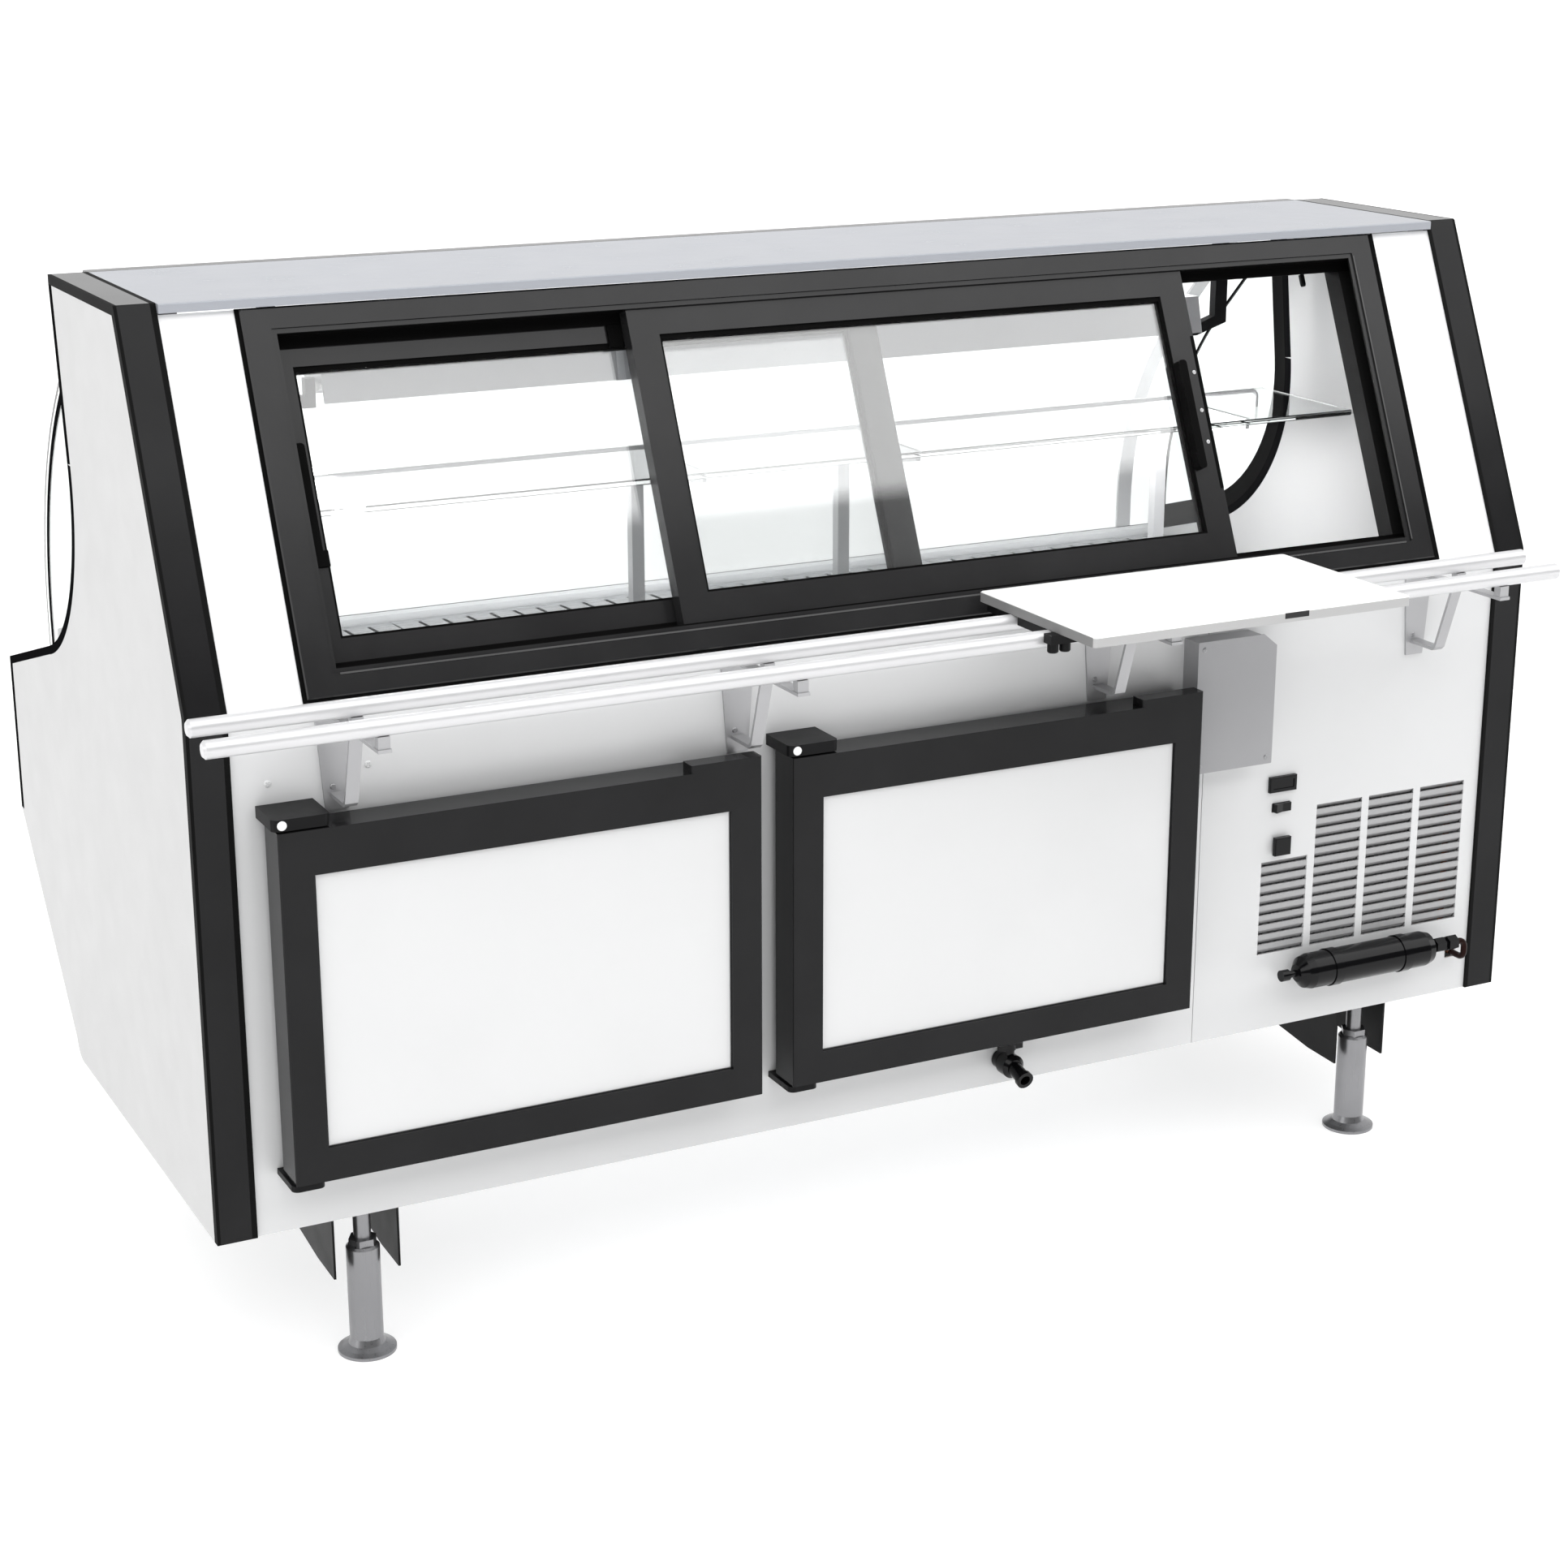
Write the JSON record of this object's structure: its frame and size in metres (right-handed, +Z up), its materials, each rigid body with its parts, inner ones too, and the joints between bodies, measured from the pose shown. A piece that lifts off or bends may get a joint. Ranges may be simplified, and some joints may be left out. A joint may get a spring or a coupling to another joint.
{
  "type": "refrigerated deli case",
  "caption": "Refrigerated service case: curved glass display over a two-door cold store, sliding rear windows, board rails and adjustable legs.",
  "frame": {"origin": "centre of the case's overall plan, on the floor the feet stand on", "axes": "+X along the case, +Y from the service face towards the customer glass, +Z up"},
  "size_m": [1.928, 1.169, 1.288],
  "materials": {
    "white_paint": "satin",
    "end_grey": "satin painted skin over foam",
    "white_wall": "satin painted skin over foam",
    "liner": "satin skin over foam",
    "dark_trim": "satin",
    "black_metal": "semi-gloss",
    "black_plastic": "matte",
    "dark_plastic": "satin",
    "rubber": "matte",
    "top_grey": "satin",
    "box_grey": "satin",
    "steel": "brushed",
    "aluminium": "satin",
    "copper": "dull copper",
    "clear_glass": "clear",
    "lamp_glass": "frosted",
    "board_white": "matte",
    "door_panel": "satin painted skin over foam",
    "display_black": "gloss"
  },
  "bodies": {
    "case": {"base_rails": "black_metal", "board_rails": "steel", "compressor": "black_metal", "condenser_coil": "aluminium", "condenser_fan_motor": "steel", "deck_pans": "steel", "display_shelf": "clear_glass", "display_tank": "liner", "door_hinges": "black_plastic", "door_tracks": "black_plastic", "drain_valve": "black_plastic", "end_glasses": "clear_glass", "end_panel_left": "end_grey", "end_panel_right": "end_grey", "end_trims": "dark_trim", "evaporator_coil": "aluminium", "filter_drier": "black_metal", "front_bumper": "dark_trim", "front_glass": "clear_glass", "front_lower_panel": "white_paint", "glass_supports": "steel", "junction_box": "box_grey", "lamp_brackets": "black_metal", "lamp_housing": "white_paint", "lamp_tube": "lamp_glass", "leg_tubes": "steel", "liquid_line": "copper", "machine_cover": "white_paint", "rail_brackets": "steel", "rear_panel": "white_wall", "shelf_supports": "steel", "storage_body": "liner", "temperature_display": "display_black", "top_glass_rail": "aluminium", "top_panel": "top_grey", "upper_rear_panel": "white_paint", "window_frame": "dark_plastic"},
    "outer_door": {"outer_door_frame": "dark_plastic", "outer_door_glass": "clear_glass", "outer_door_handle": "black_plastic"},
    "inner_door": {"inner_door_frame": "dark_plastic", "inner_door_glass": "clear_glass", "inner_door_handle": "black_plastic"},
    "storage_door_left": {"storage_door_left_frame": "dark_plastic", "storage_door_left_panel": "door_panel", "storage_door_left_gasket": "rubber"},
    "storage_door_right": {"storage_door_right_frame": "dark_plastic", "storage_door_right_panel": "door_panel", "storage_door_right_gasket": "rubber"},
    "board": {"cutting_board": "board_white", "board_saddles": "black_plastic"},
    "drain_lever": {"drain_lever": "black_plastic"},
    "rocker": {"rocker_switch": "black_plastic"},
    "button": {"push_button": "black_plastic"},
    "evaporator_fan": {"evaporator_fan_blade": "black_plastic"},
    "condenser_fan": {"condenser_fan_blade": "aluminium"},
    "foot_rear_left": {"foot_rear_left": "steel"},
    "foot_rear_right": {"foot_rear_right": "steel"},
    "foot_front_left": {"foot_front_left": "steel"},
    "foot_front_right": {"foot_front_right": "steel"}
  },
  "joints": [
    {"name": "outer_door_slide", "type": "slide", "parent": "case", "child": "outer_door", "axis": [1, 0, 0], "range_m": [-0.459, 0.295]},
    {"name": "inner_door_slide", "type": "slide", "parent": "case", "child": "inner_door", "axis": [1, 0, 0], "range_m": [0, 0.731]},
    {"name": "storage_door_left_hinge", "type": "hinge", "parent": "case", "child": "storage_door_left", "pos_m": [-0.844, -0.3585, 0.51], "axis": [0, 0, -1], "range_deg": [0, 100]},
    {"name": "storage_door_right_hinge", "type": "hinge", "parent": "case", "child": "storage_door_right", "pos_m": [-0.196, -0.3585, 0.51], "axis": [0, 0, -1], "range_deg": [0, 100]},
    {"name": "board_slide", "type": "slide", "parent": "case", "child": "board", "axis": [1, 0, 0], "range_m": [-1, 0.32]},
    {"name": "drain_lever_turn", "type": "hinge", "parent": "case", "child": "drain_lever", "pos_m": [0.134, -0.3355, 0.27], "axis": [0, 0, 1], "range_deg": [0, 90]},
    {"name": "rocker_tip", "type": "hinge", "parent": "case", "child": "rocker", "pos_m": [0.574, -0.3075, 0.533], "axis": [0, 0, -1], "range_deg": [0, 16]},
    {"name": "button_press", "type": "slide", "parent": "case", "child": "button", "axis": [0, 1, 0], "range_m": [0, 0.003], "stiffness_N_per_m": 250, "springref_m": -0.001},
    {"name": "evaporator_fan_spin", "type": "hinge", "parent": "case", "child": "evaporator_fan", "pos_m": [0.324, 0.2565, 0.716], "axis": [0, 0, 1], "continuous": true},
    {"name": "condenser_fan_spin", "type": "hinge", "parent": "case", "child": "condenser_fan", "pos_m": [0.699, -0.1975, 0.392], "axis": [0, 1, 0], "continuous": true},
    {"name": "foot_rear_left_adjust", "type": "slide", "parent": "case", "child": "foot_rear_left", "axis": [0, 0, -1], "range_m": [0, 0.02]},
    {"name": "foot_rear_right_adjust", "type": "slide", "parent": "case", "child": "foot_rear_right", "axis": [0, 0, -1], "range_m": [0, 0.02]},
    {"name": "foot_front_left_adjust", "type": "slide", "parent": "case", "child": "foot_front_left", "axis": [0, 0, -1], "range_m": [0, 0.02]},
    {"name": "foot_front_right_adjust", "type": "slide", "parent": "case", "child": "foot_front_right", "axis": [0, 0, -1], "range_m": [0, 0.02]}
  ]
}
